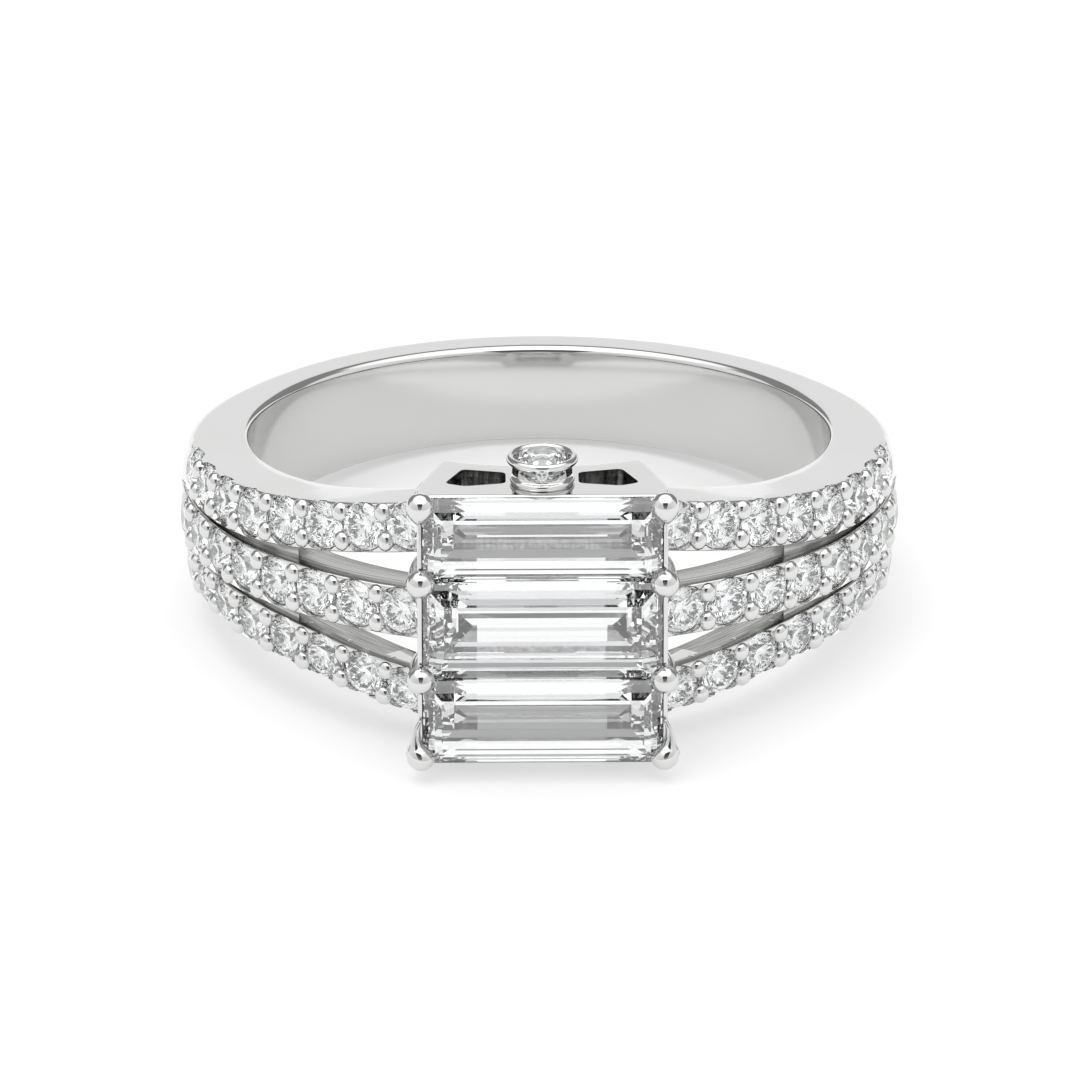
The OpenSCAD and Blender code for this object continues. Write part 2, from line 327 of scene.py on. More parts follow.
def topZ(a):
    plain = shank["backHalf"] + (shank["sideHalf"] - shank["backHalf"]) * (1 + math.cos(math.radians(a)))
    return mix(plain, rowZ(a) + shank["rowEdge"], ease(a, shank["plainStart"], shank["barsEnd"]))


def rise(a):
    return shank["sideRise"] * ease(a, shank["sideFrom"], shank["sideTo"])


def middleRise(a):
    return shank["middleRise"] * (1 - ease(a, shank["middleFrom"], shank["middleTo"]))


def rowHalf(a):
    return min(shank["rowHalf"], (rowZ(a) - shank["groove"]) / 2)


def bandOutline(azimuth):
    s, a = shank, fromHead(azimuth)
    h, p, row, half = topZ(a), paved(a), rowZ(a), rowHalf(a)
    squash = mix(h / (s["rowPitch"] + s["rowEdge"]), 1, p)
    edge = mix(s["backR"], s["sideR"], ease(a, s["thinEnd"], s["thickStart"]))
    outerRound = mix(s["plainRound"], s["outerRound"], p)
    innerRound = mix(s["innerRound"], s["backInnerRound"], ease(a, s["roundFrom"], s["roundTo"]))
    dome = mix(s["sideDome"], s["backDome"], ease(a, s["domeFrom"], s["domeTo"]))
    corner = mix(edge, s["outerR"] + rise(a), p)

    def outside(z, r):  # a point of the outer face, between its plain and its paved place
        z = z * squash
        return (mix(edge + dome * (1 - (z / h) ** 2), r + rise(a), p), z)

    near, far, proud = row - half, half, middleRise(a)
    upper = [(boreR, h * 0.4)]
    upper += arcPoints((boreR + innerRound, h - innerRound), innerRound, 180, 90, 5)
    upper += [(mix(boreR + innerRound, corner - outerRound, i / 5), h) for i in range(1, 5)]
    upper += arcPoints((corner - outerRound, h - outerRound), outerRound, 90, 0, 4)
    upper += [outside(row, s["rowR"])]
    upper += [outside(z, r) for r, z in arcPoints(
        (s["innerRowR"] - s["rowRound"], near + s["rowRound"]), s["rowRound"], 0, -90, 3)]
    upper += [outside(near, s["grooveR"]), outside(far, s["grooveR"])]
    upper += [outside(z, r) for r, z in arcPoints(
        (s["middleEdgeR"] + proud - s["rowRound"], far - s["rowRound"]), s["rowRound"], 90, 0, 3)]
    upper += [outside(far / 2, mix(s["middleEdgeR"], s["middleR"], 0.75) + proud)]
    lower = [(r, -z) for r, z in reversed(upper)]
    return [(boreR, 0)] + upper + [outside(0, s["middleR"] + proud)] + lower


def sweep(outlineAt, start, end, steps):  # spins an outline about Z and moves each point to its place
    bm = bmesh.new()
    layer = bm.verts.layers.int.new("outline")
    outline = outlineAt(start)
    verts = [bm.verts.new(spot(r, start, z)) for r, z in outline]
    for i, vert in enumerate(verts):
        vert[layer] = i
    edges = [bm.edges.new((verts[i - 1], vert)) for i, vert in enumerate(verts)]
    bmesh.ops.contextual_create(bm, geom=edges)
    first = list(bm.faces)
    bmesh.ops.spin(bm, geom=verts + edges + first, cent=(0, 0, 0), axis=(0, 0, 1),
                   angle=math.radians(end - start), steps=steps)
    places = {}
    for vert in bm.verts:
        a = math.degrees(math.atan2(vert.co.x, -vert.co.y)) % 360
        a = start + round((a - start) * steps / (end - start)) * (end - start) / steps
        if a not in places:
            places[a] = outlineAt(a)
        r, z = places[a][vert[layer]]
        vert.co = spot(r, a, z)
    bmesh.ops.remove_doubles(bm, verts=bm.verts, dist=0.00001)
    return faceOutwards(bm)


def splitOutline(a):  # a gap beside the middle row, wider at the finger than outside
    s = shank
    low, high = rowHalf(a) - s["splitOverlap"], rowZ(a) - rowHalf(a) + s["splitOverlap"]
    inside, end = s["splitInside"], s["splitX"] / math.sin(math.radians(a))
    outside = s["splitOutside"] if end > s["sideR"] else end
    top = min(s["taperR"], outside - 0.01)
    spread = (top - inside) * s["taper"]
    return [(outside, low), (outside, high), (top, high), (inside, high + spread), (inside, low - spread),
            (top, low)]


def mirrorBm(bm, x, z):  # the same shape on another side of the head
    bmesh.ops.scale(bm, vec=(x, 1, z), verts=bm.verts)
    if x * z < 0:
        bmesh.ops.reverse_faces(bm, faces=bm.faces)
    return bm


# Paving: the stones stand in seats, and beads raised from the metal between them hold them

paving = {
    "first": 22.3, "middleFirst": 22.8, "step": 8.1, "count": 8,
    "outerR": 9.7, "middleR": 9.87, "tilt": 7,
    "stoneD": 1.31, "seatR": 0.69, "coneR": 0.65, "coneTop": -0.06, "coneDepth": -0.65,
    "rimR": 0.76, "rimLow": 0.04, "rimHigh": 0.14,      # a small flare that frames each stone
    "beadR": 0.27, "beadFlat": 0.8, "beadSide": 0.4, "beadUp": 0.1, "beadLong": 0.04, "beadRoot": 0.3}


def cellPlace(row, a, side):  # frame of a stone: X along the row, Y across it, Z outwards
    def centre(b):
        r = paving["outerR"] if row else paving["middleR"] + middleRise(b)
        return spot(r + rise(b), b, row * rowZ(b))
    along = (centre(a + 0.5) - centre(a - 0.5)).normalized()
    tilt = math.radians(paving["tilt"]) * row
    out = spot(math.cos(tilt), a, math.sin(tilt))
    out = (out - along * out.dot(along)).normalized()
    across = out.cross(along)
    cell = Matrix((along, across, out)).transposed().to_4x4()
    cell.translation = centre(a)
    return Matrix.Scale(side, 4, (1, 0, 0)) @ cell


def seatCutter():
    p = paving
    return spinOutline([(0, p["coneDepth"]), (p["coneR"], p["coneTop"]), (p["seatR"], p["coneTop"]),
                        (p["seatR"], p["rimLow"]), (p["rimR"], p["rimHigh"]), (p["rimR"], 0.6),
                        (0, 0.6)], 40)


def paveCells(offset=0):
    for side in (-1, 1):
        for row in (-1, 0, 1):
            for i in range(paving["count"]):
                a = paving["first" if row else "middleFirst"] + (i + offset) * paving["step"]
                yield row, i, a, cellPlace(row, a, side)


print("shank: sweeping the outline")
band = toObject("shank", sweep(bandOutline, shank["start"], 360 - shank["start"],
                               (360 - 2 * shank["start"]) // shank["step"]))
low, high = shank["splitStart"], shank["splitEnd"]
cutters = [toObject("split", mirrorBm(sweep(splitOutline, low, high, (high - low) // shank["step"]), x, z))
           for x in (-1, 1) for z in (-1, 1)]
for parity in (0, 1):  # neighbouring seats meet, so they are cut in two turns
    seats, seat = bmesh.new(), seatCutter()
    for row, i, a, cell in paveCells():
        if (row + i) % 2 == parity:
            addCopy(seats, seat, cell)
    seat.free()
    cutters.append(toObject("seats", seats))
cutAway(band, cutters)
for polygon in band.data.polygons:  # satin wall at the finger, filed flanks and valleys between the rows, each material with its painted shade
    middle, s = polygon.center, shank
    away, a = math.hypot(middle.x, middle.y), fromHead(math.degrees(math.atan2(middle.x, -middle.y)) % 360)
    flank = away < s["filedShadeR"] and abs(polygon.normal.z) > 0.8 and abs(middle.z) < topZ(70) - 0.3
    valley = away < s["valleyR"] and s["valleyEdge"] < abs(middle.z) < rowZ(a) - s["valleyEdge"]
    filedAndShaded = a < s["filedShadeEnd"] and (flank or valley)
    polygon.material_index = 1 if away < boreR + 0.01 else 2 if filedAndShaded else 0
finishPiece(band, [platinumPolished, platinumSatinShade, platinumFiledShade], ["ring_mount"])

bead = bmesh.new()
bmesh.ops.create_uvsphere(bead, u_segments=14, v_segments=9, radius=paving["beadR"])
bmesh.ops.scale(bead, vec=(1, 1, paving["beadFlat"]), verts=bead.verts)
bmesh.ops.translate(bead, verts=[v for v in bead.verts if v.co.z < -0.01], vec=(0, 0, -paving["beadRoot"]))
bmesh.ops.translate(bead, verts=[v for v in bead.verts if v.co.y > 0.01], vec=(0, paving["beadLong"], 0))
beads = bmesh.new()
for offset in (-0.5, 0.5):
    for row, i, a, cell in paveCells(offset):
        if (offset > 0 or i == 0) and i + offset < paving["count"] - 1:
            for across in (-1, 1):
                edge = topZ(a) - rowZ(a) if row == across else 1  # room up to the flat face
                away = min(paving["beadSide"], edge - paving["beadR"] - 0.03)
                at = Matrix.Translation((0, across * away, paving["beadUp"]))
                addCopy(beads, bead, cell @ at @ Matrix.Scale(across, 4, (0, 1, 0)))
bead.free()
finishPiece(toObject("beads", beads), [platinumPolished], ["ring_mount"], 60)


roundCut = {  # each ring has a number of corners, radius and height as parts of the radius, and a turn
    "rings": [(8, 0.58, 0.33, 0), (8, 0.8, 0.2, 22.5), (16, 1, 0.02, 0), (16, 1, -0.02, 0),
              (8, 0.24, -0.7, 22.5)],
    "culet": -0.88}


def brilliant(d):  # a round brilliant with its girdle at Z = 0
    r = d / 2
    bm = bmesh.new()
    for count, radius, z, turn in roundCut["rings"]:
        bmesh.ops.create_circle(bm, segments=count, radius=radius * r, matrix=(
            Matrix.Translation((0, 0, z * r)) @ Matrix.Rotation(math.radians(turn), 4, "Z")))
    bm.verts.new((0, 0, roundCut["culet"] * r))
    bmesh.ops.convex_hull(bm, input=bm.verts)
    bmesh.ops.dissolve_limit(bm, angle_limit=math.radians(1), verts=bm.verts, edges=bm.edges)
    bmesh.ops.delete(bm, geom=[e for e in bm.edges if not e.link_faces], context="EDGES")
    return faceOutwards(bm)


stones, stone = bmesh.new(), brilliant(paving["stoneD"])
for row, i, a, cell in paveCells():
    addCopy(stones, stone, cell @ Matrix.Rotation(0.37 * i + 0.2 * row, 4, "Z"))
stone.free()
finishPiece(toObject("pave_stones", stones), [diamondCut], sharpAngle=0)


# Large stones: a rectangle stepped in towards the table and the keel, with small facets at its ends

cut = {
    "length": 6.6, "girdleY": 10.75, "girdle": 0.06,
    "crown": [(0.12, 0.38), (0.26, 0.72), (0.42, 1)],      # inset as a part of the half width, height
    "pavilion": [(0.36, 0.5), (0.7, 0.84), (0.975, 1)],    # as a part of the crown or the pavilion
    "crownH": 0.36, "pavilionH": 1.3, "endPoke": 0.05, "gap": 0.03, "roomH": 1, "roomZ": 0.45,
    # height of the middle of each stone, and its width
    "places": {"upper_baguette": (2.66, 2.44), "middle_baguette": (0, 2.8),
               "lower_baguette": (-2.66, 2.44)}}


def stepFace(bm, side, width, height, steps):  # insets the face on one side step by step
    bm.normal_update()
    face = max(bm.faces, key=lambda f: f.calc_center_median().z * side)
    rings, was = [], (0, 0)
    for inset, rise in steps:
        rings += bmesh.ops.inset_individual(
            bm, faces=[face], thickness=(inset - was[0]) * width / 2, depth=(rise - was[1]) * height,
            use_even_offset=True)["faces"]
        was = (inset, rise)
    return rings


def lyingStone(bm, z):  # from a table that faces up to one that faces the head, at its height
    turn = Matrix.Rotation(math.radians(90), 4, "X")
    bm.transform(Matrix.Translation((0, -cut["girdleY"], z)) @ turn)
    return bm


def stepCut(z, width):
    bm = bmesh.new()
    bmesh.ops.create_cube(bm, size=1, matrix=Matrix.Diagonal((cut["length"], width, cut["girdle"], 1)))
    stepFace(bm, 1, width, cut["crownH"], cut["crown"])
    rings = stepFace(bm, -1, width, cut["pavilionH"], cut["pavilion"])
    bm.normal_update()
    ends = [f for f in rings if abs(f.normal.x) > abs(f.normal.y)]
    ends = sorted(ends, key=lambda f: f.calc_area())[-2:]
    bmesh.ops.poke(bm, faces=ends, offset=cut["endPoke"])
    return lyingStone(bm, z)


def stoneRoom(z, width):  # the seat that is cut for a stone, open towards its table
    bm, grow = bmesh.new(), cut["gap"]
    bmesh.ops.create_cube(bm, size=1, matrix=Matrix.Translation((0, 0, cut["roomZ"])) @ Matrix.Diagonal(
        (cut["length"] + 2 * grow, width + 2 * grow, cut["roomH"], 1)))
    stepFace(bm, -1, width + 2 * grow, cut["pavilionH"] + grow, cut["pavilion"][:2])
    return lyingStone(bm, z)


for name, (z, width) in cut["places"].items():
    finishPiece(toObject(name + "_cut", stepCut(z, width)), [diamondCut], [name], 0)


# Basket: a tapered block that is hollow under the stones, between an upper and a lower gallery plate

basket = {
    "footY": 7.83, "footHalf": 2.6, "girdleY": 10.75, "girdleHalf": 3.45, "halfHeight": 3.955,
    "frontY": 10.8, "backY": 7.5, "wall": 0.5, "round": 0.07, "blockHalf": 3.75,
    "hatchHalf": 1.8, "hatchEdge": 0.9, "hatchY": 8, "hatchDeep": 1.5, "floorY": 8.9, "openY": 12,
    "plateLow": 3.4, "plateRound": 0.12, "cornerRound": 0.25, "windowRound": 0.14,
    "windowX": (0.9, 2.72), "windowY": (8.6, 10.1),     # a box round each window
    "window": [(1.0, -8.95), (2.2, -8.68), (2.68, -9.78), (2.15, -10.02), (1.0, -9.8)],
    "ear": [(2.25, -8.12), (2.76, -7.88), (3.2, -9.2), (3.52, -10.25), (3.46, -10.8)],
    "railR": 8.42,          # between its two ears the gallery stands back a little from the finger
    "recessEdge": 0.15, "recessHalf": 3.6, "recessR": 8.3}  # inside these the metal gets painted shade


def basketHalf(y):
    t = (y - basket["footY"]) / (basket["girdleY"] - basket["footY"])
    return mix(basket["footHalf"], basket["girdleHalf"], t)


def taperedBlock(front, back, inset, half):  # a block whose sides follow the sides of the basket
    bm = bmesh.new()
    bmesh.ops.create_cube(bm, size=2)
    for vert in bm.verts:
        y = front if vert.co.y < 0 else back
        vert.co = (vert.co.x * (basketHalf(y) - inset), -y, vert.co.z * half)
    return bm


def inWindow(co):
    (left, right), (near, far) = basket["windowX"], basket["windowY"]
    return left < abs(co.x) < right and near < -co.y < far


def roundEdges(bm, width, segments=3, angle=30, clamp=True):  # the rims of the windows stay sharp
    edges = [e for e in bm.edges if len(e.link_faces) == 2 and e.calc_face_angle() > math.radians(angle)
             and not inWindow((e.verts[0].co + e.verts[1].co) / 2)]
    bmesh.ops.bevel(bm, geom=edges, offset=width, offset_type="OFFSET", segments=segments, profile=0.5,
                    affect="EDGES", material=-1, clamp_overlap=clamp)
    return bm


def roundFace(bm, points, radius, corners, segments=3):  # a flat face, with the named corners rounded
    verts = [bm.verts.new((x, y, 0)) for x, y in points]
    bm.faces.new(verts)
    bmesh.ops.bevel(bm, geom=[verts[i] for i in corners], offset=radius, offset_type="OFFSET",
                    segments=segments, profile=0.5, affect="VERTICES", material=-1, clamp_overlap=True)


def plate(bm, low, high):  # raises flat outlines into a solid, and an outline in another is a hole
    bmesh.ops.delete(bm, geom=list(bm.faces), context="FACES_ONLY")
    bmesh.ops.triangle_fill(bm, use_beauty=True, use_dissolve=False, edges=list(bm.edges))
    bmesh.ops.translate(bm, vec=(0, 0, low), verts=bm.verts)
    top = bmesh.ops.extrude_face_region(bm, geom=list(bm.faces))
    bmesh.ops.translate(bm, vec=(0, 0, high - low), verts=[
        v for v in top["geom"] if isinstance(v, bmesh.types.BMVert)])
    return faceOutwards(bm)


def cylinder(radius, low, high, segments=64):
    return spinOutline([(0, low), (radius, low), (radius, high), (0, high)], segments)


def windowHoles(bm):
    for side in (-1, 1):
        roundFace(bm, [(x * side, y) for x, y in basket["window"]], basket["windowRound"], range(5))


def galleryPlate():
    bm = bmesh.new()
    rail = [(x, y) for x, y, z in (spot(basket["railR"], a, 0) for a in range(-12, 13, 2))]
    outer = rail + basket["ear"] + [(-x, y) for x, y in reversed(basket["ear"])]
    ears = [len(rail) + i for i in (0, 1, 3, 6, 8, 9)]
    roundFace(bm, outer, basket["cornerRound"], ears)
    windowHoles(bm)
    plate(bm, basket["plateLow"], basket["halfHeight"])
    return roundEdges(bm, basket["plateRound"], 4, 60, False)


def markShadedRecess(piece):  # the walls of the windows and the hollow get the second material, with its painted shade
    for polygon in piece.data.polygons:
        middle = polygon.center
        inside = abs(middle.x) < basketHalf(-middle.y) - basket["recessEdge"]
        inside = inside and abs(middle.z) < basket["recessHalf"]
        inside = inside and math.hypot(middle.x, middle.y) > basket["recessR"]
        wall = abs(polygon.normal.z) < 0.5 and inWindow(middle)
        polygon.material_index = 1 if wall or inside else 0


h = basket["halfHeight"]
block = toObject("basket", roundEdges(
    taperedBlock(basket["frontY"], basket["backY"], 0, basket["blockHalf"]), basket["round"]))
hatch = bmesh.new()
bmesh.ops.create_cube(hatch, size=2, matrix=Matrix.Translation((0, -basket["hatchY"], 0)) @ Matrix.Diagonal(
    (basket["hatchHalf"], basket["hatchDeep"], h - basket["hatchEdge"], 1)))
windows = bmesh.new()
windowHoles(windows)
cutters = [toObject("bore", cylinder(boreR, -6, 6, 180)),
           toObject("hollow", taperedBlock(basket["openY"], basket["floorY"], basket["wall"],
                                           h - basket["wall"])),
           toObject("hatch", hatch), toObject("windows", plate(windows, -6, 6))]
cutters += [toObject("room", stoneRoom(z, width)) for z, width in cut["places"].values()]
cutAway(block, cutters)
markShadedRecess(block)
finishPiece(block, [platinumPolished, platinumShadedRecess], ["ring_mount"], 40)

for name, side in (("upper_gallery", 1), ("lower_gallery", -1)):
    gallery = toObject(name, mirrorBm(galleryPlate(), 1, side))
    z, width = cut["places"]["upper_baguette"]
    cutAway(gallery, [toObject("room", stoneRoom(z * side, width))])
    markShadedRecess(gallery)
    finishPiece(gallery, [platinumPolished, platinumShadedRecess], ["ring_mount"], 40)


# Prongs: a ball on a wire that bows out beside the basket and runs back to the finger

prongs = {
    "ballR": 0.4, "ballX": 3.36, "ballY": 10.91, "cornerZ": 3.675, "sharedZ": 1.42, "lean": 0.2,
    # corner claws narrow to a tail, short on the upper ones, long and bowed outwards on the lower ones
    "upperTail": [(0.385, -0.1), (0.34, -0.21), (0.26, -0.34), (0.15, -0.46), (0, -0.58)],
    "lowerTail": [(0.385, -0.1), (0.29, -0.25), (0.19, -0.36), (0.13, -0.55), (0.09, -0.8),
                  (0.06, -1.05), (0, -1.1)],
    "tailBow": 0.16,
    # each row is a point of the wire: distance from the middle, distance from the axis and radius
    "corner": [(3.36, 10.91, 0.3), (3.36, 10.5, 0.25), (3.31, 9.9, 0.24), (3.22, 9.35, 0.24),
               (3.06, 8.8, 0.24), (2.75, 8.45, 0.2)],
    "shared": [(3.36, 10.91, 0.32), (3.42, 10.4, 0.29), (3.4, 9.8, 0.28), (3.28, 9.2, 0.27),
               (3.06, 8.75, 0.26), (2.75, 8.45, 0.2)]}


def wireMesh(bm, points):  # a round wire through points of place and radius
    data = bpy.data.curves.new("wire", "CURVE")
    data.dimensions, data.bevel_depth, data.bevel_resolution, data.resolution_u = "3D", 1, 6, 6
    data.use_fill_caps = True
    line = data.splines.new("NURBS")
    line.points.add(len(points) - 1)
    for knot, (co, radius) in zip(line.points, points):
        knot.co, knot.radius = (*co, 1), radius
    line.order_u, line.use_endpoint_u = 3, True
    wire = bpy.data.objects.new("wire", data)
    bpy.context.scene.collection.objects.link(wire)
    bpy.context.view_layer.update()
    mesh = bpy.data.meshes.new_from_object(wire.evaluated_get(bpy.context.evaluated_depsgraph_get()))
    bm.from_mesh(mesh)
    bpy.data.objects.remove(wire)
    bpy.data.meshes.remove(mesh)


def drop(tail, bow):  # half a ball on a tail
    bm = spinOutline([(r, z) for z, r in arcPoints((0, 0), prongs["ballR"], 0, 90, 8)] + tail, 32)
    for vert in bm.verts:
        vert.co.x += bow * math.sin(math.pi * max(0, vert.co.z / tail[-1][1]))
    return bm


ball = bmesh.new()
bmesh.ops.create_uvsphere(ball, u_segments=32, v_segments=20, radius=prongs["ballR"])
upperDrop, lowerDrop = drop(prongs["upperTail"], 0), drop(prongs["lowerTail"], prongs["tailBow"])
claws = bmesh.new()
for side in (-1, 1):
    for z in (prongs["cornerZ"], prongs["sharedZ"], -prongs["sharedZ"], -prongs["cornerZ"]):
        corner = abs(z) == prongs["cornerZ"]
        inward = math.copysign(prongs["lean"], z) if corner else 0
        row = prongs["corner" if corner else "shared"]
        count = len(row) - 1
        wireMesh(claws, [((side * x, -y, z - inward * i / count), r) for i, (x, y, r) in enumerate(row)])
        tip = Matrix.Translation((side * prongs["ballX"], -prongs["ballY"], z))
        if corner:
            tip = tip @ Matrix.Diagonal((side, 1, math.copysign(1, z), 1))
        addCopy(claws, ball if not corner else upperDrop if z > 0 else lowerDrop, tip)
bmesh.ops.remove_doubles(claws, verts=claws.verts, dist=0.0001)
finishPiece(toObject("prongs", claws), [platinumPolished], ["ring_mount"], 50)


# Bezel cup on the upper gallery: a foot ring, a waist and a round rim, with a pointed window front and back

cup = {
    "y": 9.7, "rimR": 0.88, "rimZ": 0.7, "rimRound": 0.115, "footR": 0.79, "footZ": 0.1, "footRound": 0.1,
    "inside": 0.835, "drillR": 0.63, "windowZ": 0.46, "windowHalf": 0.64, "windowBow": 0.22,
    "windowTip": 0.03}

# The outline runs up the outside and down the inside, as radius and height
cupOutline = [(cup["drillR"], -0.3), (0.84, -0.3)]
cupOutline += arcPoints((cup["footR"], cup["footZ"]), cup["footRound"], -70, 70, 8)
cupOutline += [(0.79, 0.24), (0.772, 0.3), (0.775, 0.38), (0.8, 0.47), (0.85, 0.55)]
cupOutline += arcPoints((cup["rimR"], cup["rimZ"]), cup["rimRound"], -75, 180, 14)
cupOutline += [(0.79, 0.64), (cup["inside"], 0.61), (cup["inside"], 0.3), (cup["drillR"], 0.28),
               (cup["drillR"], -0.3)]
bezel = toObject("bezel", spinOutline(cupOutline, 96))
lensR = (cup["windowHalf"] ** 2 + cup["windowBow"] ** 2) / (2 * cup["windowBow"])
lensAngle = math.degrees(math.asin(cup["windowHalf"] / lensR))
lensHalf = arcPoints((0, cup["windowBow"] - lensR), lensR, 90 - lensAngle, 90 + lensAngle, 12)
lens = bmesh.new()
roundFace(lens, lensHalf + [(-x, -z) for x, z in lensHalf[1:-1]], cup["windowTip"], (0, 12))
plate(lens, -2, 2)
bmesh.ops.rotate(lens, cent=(0, 0, 0), matrix=Matrix.Rotation(math.radians(90), 3, "X"), verts=lens.verts)
bmesh.ops.translate(lens, vec=(0, 0, cup["windowZ"]), verts=lens.verts)
cutAway(bezel, [toObject("lens", lens)])
bezel.data.transform(Matrix.Translation((0, -cup["y"], basket["halfHeight"])))
finishPiece(bezel, [platinumPolished], ["ring_mount"], 40)

node = frame["nodes"]["gallery_brilliant"]
node.data.materials.clear()
node.data.materials.append(diamondCut)
print("round stone given its material")


# Studio: pale floor, soft white surroundings, a large light overhead and a dark card behind the camera

studio = {
    "distance": 0.3, "elevation": 20.5, "turn": -0.5,   # of the camera, seen from the finger axis
    "lens": 351.5, "aimDown": 0.001337, "aimRight": 0.0000256}

azimuth, elevation = math.radians(studio["turn"]), math.radians(studio["elevation"])
towards = leanBack.to_3x3() @ Vector((math.sin(azimuth) * math.cos(elevation),
                                      -math.cos(azimuth) * math.cos(elevation), math.sin(elevation)))
centre = Vector(bore["pos_m"])
turned = towards.to_track_quat("Z", "Y")
aim = centre + turned @ Vector((studio["aimRight"], -studio["aimDown"], 0))
cameraData = bpy.data.cameras.new("camera")
cameraData.lens, cameraData.sensor_width, cameraData.clip_start = studio["lens"], 36, 0.01
camera = bpy.data.objects.new("camera", cameraData)
camera.location = centre + towards * studio["distance"]
camera.rotation_euler = (camera.location - aim).to_track_quat("Z", "Y").to_euler()
bpy.context.scene.collection.objects.link(camera)
bpy.context.scene.camera = camera
bpy.context.scene.view_settings.view_transform = "Standard"
lightPaths = bpy.context.scene.cycles  # light turns round inside a cut stone many times before it leaves
lightPaths.max_bounces, lightPaths.glossy_bounces, lightPaths.transmission_bounces = 20, 16, 16

paper = {  # metres
    "half": 3, "colour": "#c0c0c0", "roughness": 0.9,
    "middle": (0, 0.0009, 0), "shadeR": 0.0075, "paleR": 0.0095,    # the shade fills the finger hole
    "shadeY": 0.0036, "paleY": 0.0016,                              # and stops short of the head
    "shadeGlow": 0.31, "paleGlow": 0.48}

floorMesh = bmesh.new()
bmesh.ops.create_grid(floorMesh, x_segments=1, y_segments=1, size=paper["half"])
floor = toObject("floor", floorMesh)
# Paper, uncoated: white without a sheen, with a painted shadow that makes it light grey inside the ring
floorMaterial, tree, shader, coords = newMaterial("paper_white_painted_shadow")
shader.inputs["Base Color"].default_value = hexColour(paper["colour"])
shader.inputs["Roughness"].default_value = paper["roughness"]
shader.inputs["Emission Color"].default_value = hexColour("#ffffff")
fromMiddle = addNode(tree, "ShaderNodeVectorMath", {"operation": "DISTANCE"}, {0: coords.outputs["Object"]})
fromMiddle.inputs[1].default_value = paper["middle"]
inside = addNode(tree, "ShaderNodeMapRange", {"interpolation_type": "SMOOTHSTEP"}, {
    "Value": fromMiddle.outputs["Value"], "From Min": paper["shadeR"], "From Max": paper["paleR"]})
parts = addNode(tree, "ShaderNodeSeparateXYZ", {}, {"Vector": coords.outputs["Object"]})
front = addNode(tree, "ShaderNodeMapRange", {"interpolation_type": "SMOOTHSTEP"}, {
    "Value": parts.outputs["Y"], "From Min": paper["shadeY"], "From Max": paper["paleY"]})
shade = addNode(tree, "ShaderNodeMath", {"operation": "MAXIMUM"}, {
    0: inside.outputs["Result"], 1: front.outputs["Result"]})
glow = addNode(tree, "ShaderNodeMapRange", {}, {
    "Value": shade.outputs["Value"], "To Min": paper["shadeGlow"], "To Max": paper["paleGlow"]})
tree.links.new(glow.outputs["Result"], shader.inputs["Emission Strength"])
floor.data.materials.append(floorMaterial)

world = bpy.data.worlds.new("studio")
bpy.context.scene.world = world
world.use_nodes = True
tree = world.node_tree
background = tree.nodes["Background"]
coords = addNode(tree, "ShaderNodeTexCoord", {}, {})
# Bright overhead, dimmer at the front, and dark flags behind the ring that draw its edges
sky = {
    "front": 0.8, "back": 0.97, "overhead": 0.7, "flag": 0.3,       # strengths
    "frontY": -0.9, "backY": 0.1, "overheadLow": 0.55, "overheadHigh": 0.9,     # directions, as parts of 1
    "flagSide": 0.26, "flagLow": 0.33, "flagSoft": 0.06, "flagTop": 0.68, "topSoft": 0.05,
    "flagFront": 0.2, "flagBack": 0.35}

parts = addNode(tree, "ShaderNodeSeparateXYZ", {}, {"Vector": coords.outputs["Generated"]})
x, y, z = (parts.outputs[axis] for axis in "XYZ")
aside = addNode(tree, "ShaderNodeMath", {"operation": "ABSOLUTE"}, {0: x}).outputs["Value"]
ramps = {  # soft changes: the value, where it starts and ends, and what it gives there
    "around": (y, sky["frontY"], sky["backY"], sky["front"], sky["back"]),
    "overhead": (z, sky["overheadLow"], sky["overheadHigh"], 0, sky["overhead"]),
    "aside": (aside, sky["flagSide"] - sky["flagSoft"], sky["flagSide"] + sky["flagSoft"], 0, 1),
    "above": (z, sky["flagLow"] - sky["flagSoft"], sky["flagLow"] + sky["flagSoft"], 0, 1),
    "behind": (y, sky["flagFront"], sky["flagBack"], 0, 1),
    "below": (z, sky["flagTop"] - sky["topSoft"], sky["flagTop"] + sky["topSoft"], 1, 0)}
for name, (value, start, end, low, high) in ramps.items():
    change = addNode(tree, "ShaderNodeMapRange", {"interpolation_type": "SMOOTHSTEP"}, {
        "Value": value, "From Min": start, "From Max": end, "To Min": low, "To Max": high})
    ramps[name] = change.outputs["Result"]
lit = addNode(tree, "ShaderNodeMath", {"operation": "ADD"}, {0: ramps["around"], 1: ramps["overhead"]})
flags = addNode(tree, "ShaderNodeMath", {"operation": "MAXIMUM"}, {0: ramps["aside"], 1: ramps["above"]})
for name in ("behind", "below"):
    flags = addNode(tree, "ShaderNodeMath", {"operation": "MULTIPLY"}, {
        0: flags.outputs["Value"], 1: ramps[name]})
dim = addNode(tree, "ShaderNodeMapRange", {"interpolation_type": "SMOOTHSTEP"}, {
    "Value": flags.outputs["Value"], "To Min": 1, "To Max": sky["flag"]})
strength = addNode(tree, "ShaderNodeMath", {"operation": "MULTIPLY"}, {
    0: lit.outputs["Value"], 1: dim.outputs["Result"]})
tree.links.new(strength.outputs["Value"], background.inputs["Strength"])
background.inputs["Color"].default_value = hexColour("#ffffff")

overhead = {"width": 0.3, "depth": 0.2, "watts": 0.4, "at": (-0.12, 0.02, 0.5)}     # metres

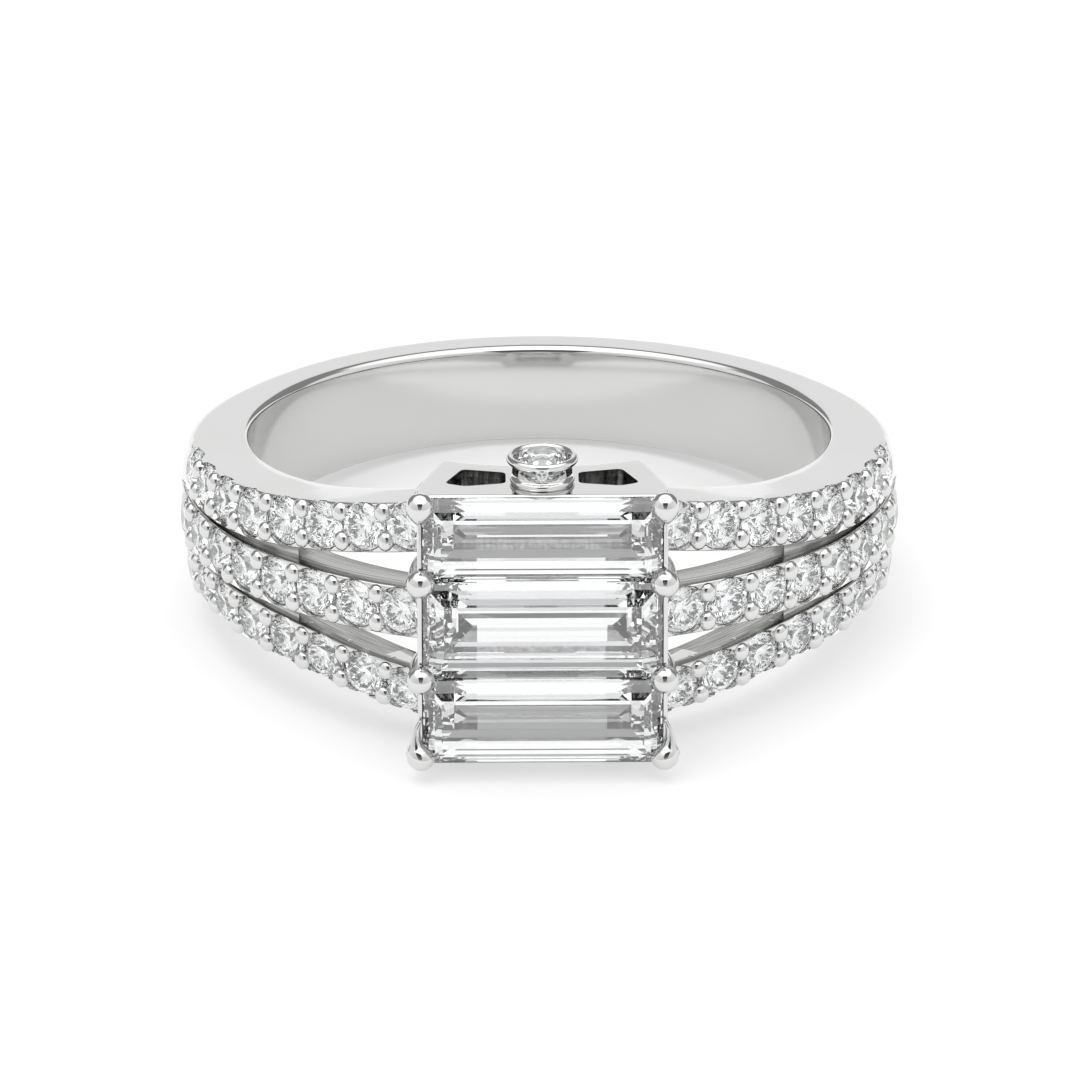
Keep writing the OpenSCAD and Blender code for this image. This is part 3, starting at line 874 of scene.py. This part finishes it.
lampData = bpy.data.lights.new("overhead", "AREA")
lampData.shape, lampData.energy = "RECTANGLE", overhead["watts"]
lampData.size, lampData.size_y = overhead["width"], overhead["depth"]
lamp = bpy.data.objects.new("overhead", lampData)
lamp.location = overhead["at"]
lamp.rotation_euler = (Vector(overhead["at"]) - centre).to_track_quat("Z", "Y").to_euler()
bpy.context.scene.collection.objects.link(lamp)

# The card behind the camera is dark at the top and fades downwards, and shows in every ball and facet
card = {
    "away": 0.36,   # metres from the ring, and its edges are in degrees seen from there
    "low": 9, "high": 53, "lowHalf": 12, "highHalf": 21,
    "colour": "#101010", "fadeLow": 0.06, "fadeHigh": 0.26, "glowLow": 0.27, "glowHigh": 0.01}

cardHalf = math.radians(card["high"] - card["low"]) / 2
cardMiddle = math.radians(card["high"] + card["low"]) / 2
cardMesh = bmesh.new()
bmesh.ops.create_grid(cardMesh, x_segments=1, y_segments=1, size=1)
for vert in cardMesh.verts:
    half = card["highHalf"] if vert.co.y > 0 else card["lowHalf"]
    vert.co.x *= card["away"] * math.tan(math.radians(half))
    vert.co.y *= card["away"] * math.tan(cardHalf)
cardPiece = toObject("dark_card", cardMesh)
cardOut = Vector((0, -math.cos(cardMiddle), math.sin(cardMiddle)))
cardPiece.data.transform(Matrix.Translation(centre + cardOut * card["away"])
                         @ cardOut.to_track_quat("Z", "Y").to_matrix().to_4x4())
# Card with a painted glow that fades from light grey at the bottom to almost none at the top: a dark patch
# with a soft lower edge in every polished surface
cardMaterial, tree, shader, coords = newMaterial("card_painted_glow")
parts = addNode(tree, "ShaderNodeSeparateXYZ", {}, {"Vector": coords.outputs["Object"]})
fade = addNode(tree, "ShaderNodeMapRange", {}, {
    "Value": parts.outputs["Z"], "From Min": card["fadeLow"], "From Max": card["fadeHigh"],
    "To Min": card["glowLow"], "To Max": card["glowHigh"]})
shader.inputs["Base Color"].default_value = hexColour(card["colour"])
shader.inputs["Emission Color"].default_value = hexColour("#ffffff")
tree.links.new(fade.outputs["Result"], shader.inputs["Emission Strength"])
cardPiece.data.materials.append(cardMaterial)
